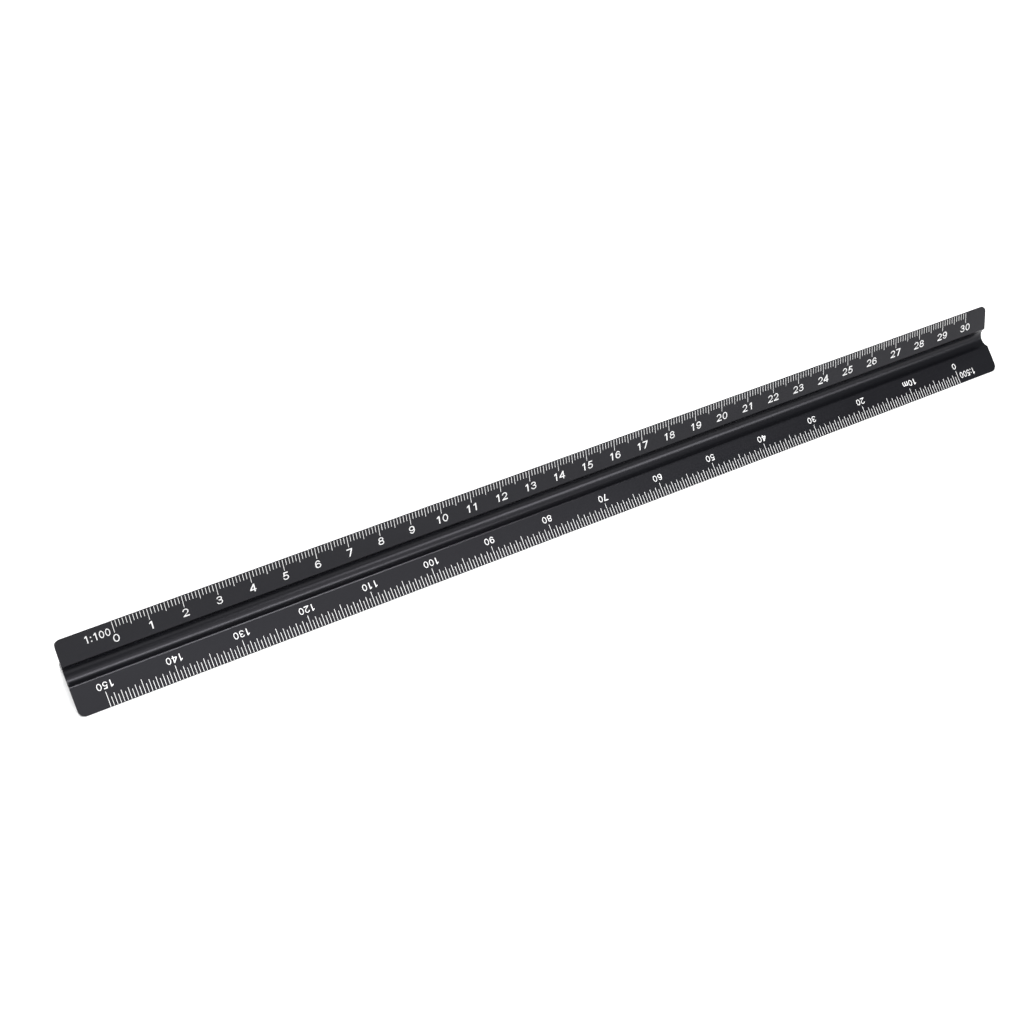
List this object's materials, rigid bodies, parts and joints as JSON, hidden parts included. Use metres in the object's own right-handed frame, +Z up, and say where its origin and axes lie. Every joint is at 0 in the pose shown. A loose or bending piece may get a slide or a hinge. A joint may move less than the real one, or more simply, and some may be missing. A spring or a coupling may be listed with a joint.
{
  "type": "triangular scale ruler",
  "caption": "Triangular drafting ruler: three thin blades on a solid core, a finger channel between each pair, and a printed scale on every face.",
  "frame": {"origin": "centre of the bounding box on the table the ruler stands on", "axes": "+X along the ruler, the way the 1:100 face reads; +Y horizontal, away from the 1:100 face; +Z up through the upright blade"},
  "size_m": [0.325, 0.0232, 0.0201],
  "materials": {
    "black_anodised": "satin",
    "white_print": "matte"
  },
  "bodies": {
    "root": {"ruler_body": "black_anodised", "scale_1_100_graduations": "white_print", "scale_1_100_numerals": "white_print", "scale_1_100_ratio": "white_print", "scale_1_500_graduations": "white_print", "scale_1_500_numerals": "white_print", "scale_1_500_ratio": "white_print", "scale_1_250_graduations": "white_print", "scale_1_250_numerals": "white_print", "scale_1_250_ratio": "white_print", "scale_1_300_graduations": "white_print", "scale_1_300_numerals": "white_print", "scale_1_300_ratio": "white_print", "scale_1_200_graduations": "white_print", "scale_1_200_numerals": "white_print", "scale_1_200_ratio": "white_print", "scale_1_400_graduations": "white_print", "scale_1_400_numerals": "white_print", "scale_1_400_ratio": "white_print"}
  },
  "joints": []
}
